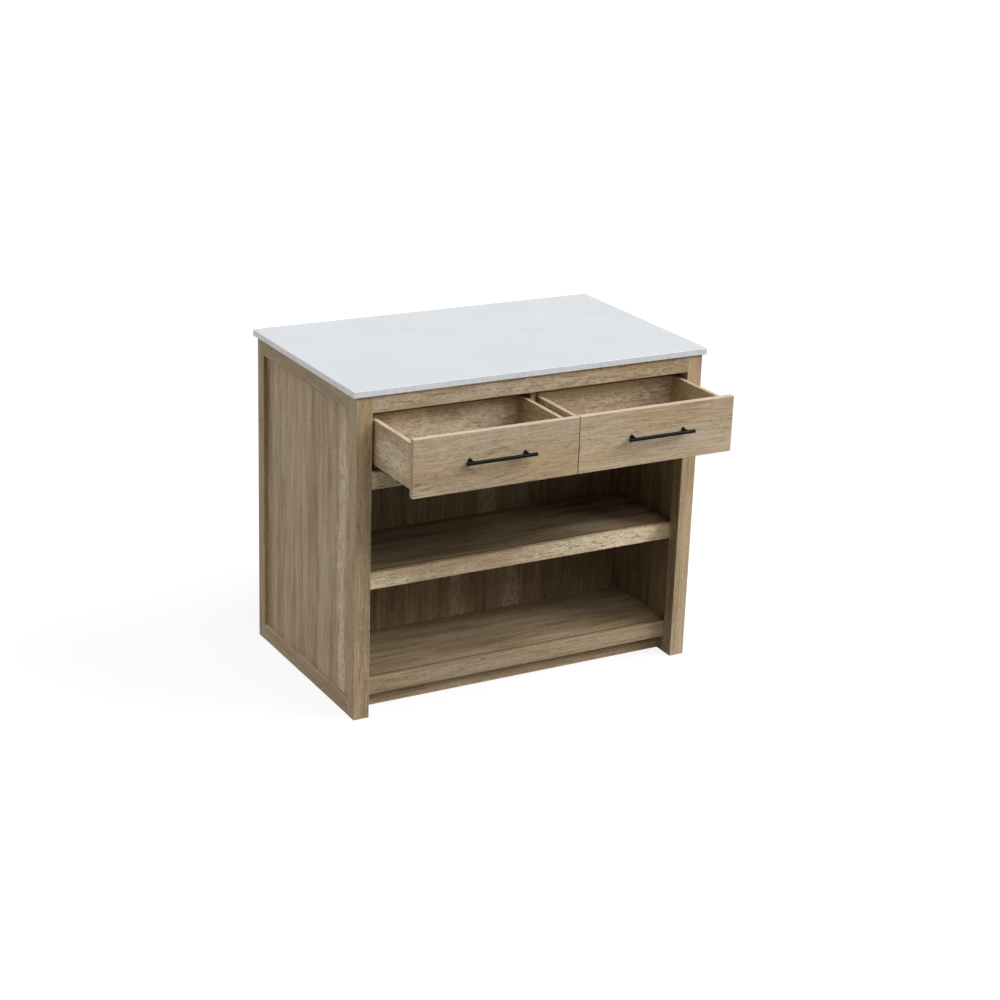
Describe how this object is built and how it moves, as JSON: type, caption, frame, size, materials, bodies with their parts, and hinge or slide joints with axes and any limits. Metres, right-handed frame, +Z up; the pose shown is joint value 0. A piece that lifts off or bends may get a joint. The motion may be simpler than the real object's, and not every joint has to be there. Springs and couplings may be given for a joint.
{
  "type": "kitchen island",
  "caption": "Free-standing kitchen island with a stone worktop, framed wood-grain carcass, open shelves, and inset drawers on concealed full-extension slides.",
  "frame": {"origin": "centre of the whole unit's box, drawers open as stored, at floor level", "axes": "+X runs to the right seen from the drawers, -Y is the way the drawers open, +Z is up"},
  "size_m": [1.072, 0.899, 0.914],
  "materials": {
    "stone_top": "polished pale engineered stone with faint grey veins",
    "oak_board": "satin greige oak-grain laminate on board",
    "pale_board": "matt pale board",
    "beech": "plain beech",
    "black_metal": "matt black",
    "zinc_steel": "bright zinc plate",
    "zinc_screws": "zinc plate",
    "cage_plastic": "natural white polymer",
    "clip_plastic": "grey polymer"
  },
  "bodies": {
    "carcass": {"worktop": "stone_top", "left_front_post": "oak_board", "right_front_post": "oak_board", "left_rear_stile": "oak_board", "right_rear_stile": "oak_board", "left_side_top_rail": "oak_board", "right_side_top_rail": "oak_board", "left_side_bottom_rail": "oak_board", "right_side_bottom_rail": "oak_board", "left_side_panel": "oak_board", "right_side_panel": "oak_board", "front_top_rail": "oak_board", "under_drawer_rail": "oak_board", "rear_top_rail": "oak_board", "drawer_divider": "oak_board", "drawer_deck": "oak_board", "mid_shelf": "oak_board", "mid_shelf_front": "oak_board", "bottom_shelf": "oak_board", "bottom_shelf_front": "oak_board", "toe_kick": "oak_board", "back_panel": "oak_board", "left_slide_packer": "pale_board", "right_slide_packer": "pale_board", "frame_dowels": "beech", "slide_screws": "zinc_screws", "left_cabinet_members": "zinc_steel", "right_cabinet_members": "zinc_steel"},
    "left_drawer": {"left_drawer_front": "oak_board", "left_drawer_outer_side": "pale_board", "left_drawer_inner_side": "pale_board", "left_drawer_back": "pale_board", "left_drawer_bottom": "pale_board", "left_handle_bar": "black_metal", "left_handle_posts": "black_metal", "left_handle_screws": "zinc_screws", "left_drawer_members": "zinc_steel", "left_slide_clips": "clip_plastic", "left_clip_screws": "zinc_screws"},
    "left_slide_middles": {"left_middle_members": "zinc_steel"},
    "left_lower_cage_sets": {"left_lower_cages": "cage_plastic", "left_lower_rollers": "zinc_steel"},
    "left_upper_cage_sets": {"left_upper_cages": "cage_plastic", "left_upper_rollers": "zinc_steel"},
    "right_drawer": {"right_drawer_front": "oak_board", "right_drawer_outer_side": "pale_board", "right_drawer_inner_side": "pale_board", "right_drawer_back": "pale_board", "right_drawer_bottom": "pale_board", "right_handle_bar": "black_metal", "right_handle_posts": "black_metal", "right_handle_screws": "zinc_screws", "right_drawer_members": "zinc_steel", "right_slide_clips": "clip_plastic", "right_clip_screws": "zinc_screws"},
    "right_slide_middles": {"right_middle_members": "zinc_steel"},
    "right_lower_cage_sets": {"right_lower_cages": "cage_plastic", "right_lower_rollers": "zinc_steel"},
    "right_upper_cage_sets": {"right_upper_cages": "cage_plastic", "right_upper_rollers": "zinc_steel"}
  },
  "joints": [
    {"name": "left_drawer_slide", "type": "slide", "parent": "carcass", "child": "left_drawer", "axis": [0, -1, 0], "range_m": [-0.225, 0.025]},
    {"name": "left_middle_slide", "type": "slide", "parent": "carcass", "child": "left_slide_middles", "axis": [0, -1, 0], "range_m": [-0.1125, 0.0125]},
    {"name": "left_lower_cage_slide", "type": "slide", "parent": "carcass", "child": "left_lower_cage_sets", "axis": [0, -1, 0], "range_m": [-0.05625, 0.00625]},
    {"name": "left_upper_cage_slide", "type": "slide", "parent": "carcass", "child": "left_upper_cage_sets", "axis": [0, -1, 0], "range_m": [-0.16875, 0.01875]},
    {"name": "right_drawer_slide", "type": "slide", "parent": "carcass", "child": "right_drawer", "axis": [0, -1, 0], "range_m": [-0.225, 0.025]},
    {"name": "right_middle_slide", "type": "slide", "parent": "carcass", "child": "right_slide_middles", "axis": [0, -1, 0], "range_m": [-0.1125, 0.0125]},
    {"name": "right_lower_cage_slide", "type": "slide", "parent": "carcass", "child": "right_lower_cage_sets", "axis": [0, -1, 0], "range_m": [-0.05625, 0.00625]},
    {"name": "right_upper_cage_slide", "type": "slide", "parent": "carcass", "child": "right_upper_cage_sets", "axis": [0, -1, 0], "range_m": [-0.16875, 0.01875]}
  ],
  "couplings": [
    {"joint": "left_middle_slide", "follows": "left_drawer_slide", "ratio": 0.5},
    {"joint": "left_lower_cage_slide", "follows": "left_drawer_slide", "ratio": 0.25},
    {"joint": "left_upper_cage_slide", "follows": "left_drawer_slide", "ratio": 0.75},
    {"joint": "right_middle_slide", "follows": "right_drawer_slide", "ratio": 0.5},
    {"joint": "right_lower_cage_slide", "follows": "right_drawer_slide", "ratio": 0.25},
    {"joint": "right_upper_cage_slide", "follows": "right_drawer_slide", "ratio": 0.75}
  ]
}
